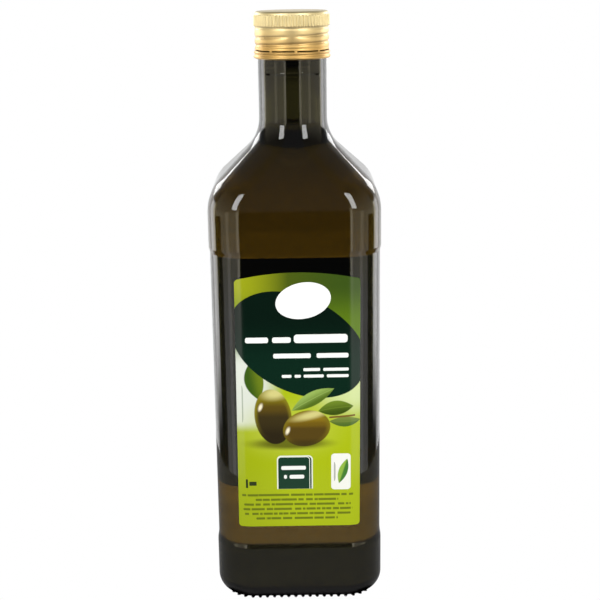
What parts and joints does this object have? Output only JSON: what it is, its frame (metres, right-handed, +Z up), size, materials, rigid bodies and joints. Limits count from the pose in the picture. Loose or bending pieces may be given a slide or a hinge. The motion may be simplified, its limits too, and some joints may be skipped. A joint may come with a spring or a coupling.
{
  "type": "olive oil bottle",
  "caption": "Square dark glass olive oil bottle, rounded shoulders, straight neck, gold screw cap, filled with oil, paper label front and back.",
  "frame": {"origin": "on the surface the bottle stands on, under the middle of its base", "axes": "+Z up along the neck, -Y out of the front label, +X to the right of someone facing the front label"},
  "size_m": [0.0784, 0.0784, 0.2736],
  "materials": {
    "glass": "smooth dark olive brown glass",
    "oil": "clear amber olive oil",
    "cap_metal": "pale gold lacquer, satin",
    "front_paper": "coated label paper, printed lime and dark green, glossy",
    "back_paper": "coated label paper, printed lime, glossy"
  },
  "bodies": {
    "root": {"bottle": "glass", "oil": "oil", "cap": "cap_metal", "front_label": "front_paper", "back_label": "back_paper"}
  },
  "joints": []
}
